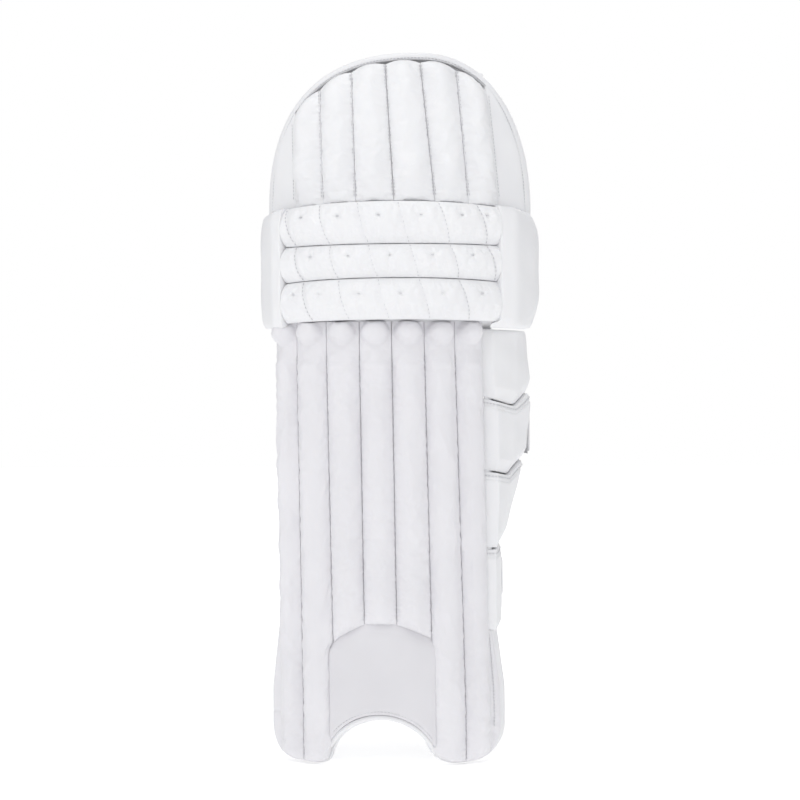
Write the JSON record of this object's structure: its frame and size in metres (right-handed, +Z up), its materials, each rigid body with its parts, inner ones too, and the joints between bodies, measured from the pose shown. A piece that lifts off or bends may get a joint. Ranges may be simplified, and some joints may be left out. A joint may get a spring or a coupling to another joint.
{
  "type": "cricket leg pad",
  "caption": "White batting leg pad with upright shin rolls, a barred knee section, a rolled top hat, a folding outer wing of foam blocks and closing straps.",
  "frame": {"origin": "middle of the box's foot: the pad stands upright on its two lower lobes, as worn", "axes": "+Z up the leg, the rolls face -Y, the outer side of the leg is +X"},
  "size_m": [0.283, 0.2137, 0.7],
  "materials": {
    "white_leather": "satin",
    "binding_leather": "satin",
    "lining_cloth": "matte",
    "board": "matte",
    "foam": "matte",
    "cane": "satin",
    "strap_cloth": "matte",
    "loop_pile": "matte"
  },
  "bodies": {
    "shin": {"shin_roll_1": "white_leather", "shin_roll_2": "white_leather", "shin_roll_3": "white_leather", "shin_roll_4": "white_leather", "shin_roll_5": "white_leather", "shin_roll_6": "white_leather", "shin_roll_7": "white_leather", "shin_canes": "cane", "shin_back_board": "board", "shin_lining": "lining_cloth", "shin_bolster_left": "lining_cloth", "shin_bolster_right": "lining_cloth", "instep_foam": "foam", "instep_patch": "white_leather", "ankle_flap_left": "white_leather", "ankle_flap_right": "white_leather", "bottom_binding": "binding_leather", "inner_wing": "white_leather", "ankle_anchor": "white_leather", "calf_anchor": "white_leather"},
    "knee": {"knee_bar_1": "white_leather", "knee_bar_2": "white_leather", "knee_bar_3": "white_leather", "knee_back_board": "board", "knee_foam": "foam", "knee_cup_lining": "lining_cloth", "knee_cushion_left": "lining_cloth", "knee_cushion_right": "lining_cloth", "knee_block_left": "white_leather", "knee_block_right": "white_leather", "knee_anchor": "white_leather", "knee_loop_patch": "loop_pile"},
    "top_hat": {"hat_roll_1": "white_leather", "hat_roll_2": "white_leather", "hat_roll_3": "white_leather", "hat_roll_4": "white_leather", "hat_roll_5": "white_leather", "hat_roll_6": "white_leather", "hat_canes": "cane", "hat_back_board": "board", "hat_lining": "lining_cloth", "hat_side_panel_left": "white_leather", "hat_side_panel_right": "white_leather", "hat_binding": "binding_leather"},
    "outer_wing": {"wing_block_1": "white_leather", "wing_block_2": "white_leather", "wing_block_3": "white_leather", "wing_block_4": "white_leather", "wing_backing": "board", "wing_lining": "lining_cloth", "ankle_loop_patch": "loop_pile", "calf_loop_patch": "loop_pile"},
    "ankle_strap_band": {"ankle_strap": "strap_cloth"},
    "ankle_grip_tab": {"ankle_tab": "strap_cloth"},
    "calf_strap_band": {"calf_strap": "strap_cloth"},
    "calf_grip_tab": {"calf_tab": "strap_cloth"},
    "knee_strap_band": {"knee_strap": "strap_cloth"},
    "knee_grip_tab": {"knee_tab": "strap_cloth"}
  },
  "joints": [
    {"name": "knee_flex", "type": "hinge", "parent": "shin", "child": "knee", "pos_m": [-0.0145, 0.0151, 0.441], "axis": [1, 0, 0], "range_deg": [-10, 0], "stiffness_Nm_per_rad": 3},
    {"name": "top_hat_flex", "type": "hinge", "parent": "knee", "child": "top_hat", "pos_m": [-0.0145, 0.0151, 0.556], "axis": [1, 0, 0], "range_deg": [-15, 0], "stiffness_Nm_per_rad": 2},
    {"name": "wing_fold", "type": "hinge", "parent": "shin", "child": "outer_wing", "pos_m": [0.0885, -0.0249, 0.28], "axis": [0, 0, 1], "range_deg": [0, 16], "stiffness_Nm_per_rad": 0.5},
    {"name": "ankle_strap_swing", "type": "hinge", "parent": "shin", "child": "ankle_strap_band", "pos_m": [-0.1215, 0.0601, 0.177], "axis": [0, 0, 1], "range_deg": [0, 100]},
    {"name": "ankle_tab_peel", "type": "hinge", "parent": "ankle_strap_band", "child": "ankle_grip_tab", "pos_m": [0.09622, 0.0815, 0.177], "axis": [0, 0, 1], "range_deg": [0, 60]},
    {"name": "calf_strap_swing", "type": "hinge", "parent": "shin", "child": "calf_strap_band", "pos_m": [-0.1225, 0.0601, 0.325], "axis": [0, 0, 1], "range_deg": [0, 100]},
    {"name": "calf_tab_peel", "type": "hinge", "parent": "calf_strap_band", "child": "calf_grip_tab", "pos_m": [0.12249, 0.08171, 0.325], "axis": [0, 0, 1], "range_deg": [0, 60]},
    {"name": "knee_strap_swing", "type": "hinge", "parent": "knee", "child": "knee_strap_band", "pos_m": [-0.1275, 0.0571, 0.489], "axis": [0, 0, 1], "range_deg": [0, 100]},
    {"name": "knee_tab_peel", "type": "hinge", "parent": "knee_strap_band", "child": "knee_grip_tab", "pos_m": [0.12727, 0.07688, 0.489], "axis": [0, 0, 1], "range_deg": [0, 60]}
  ]
}
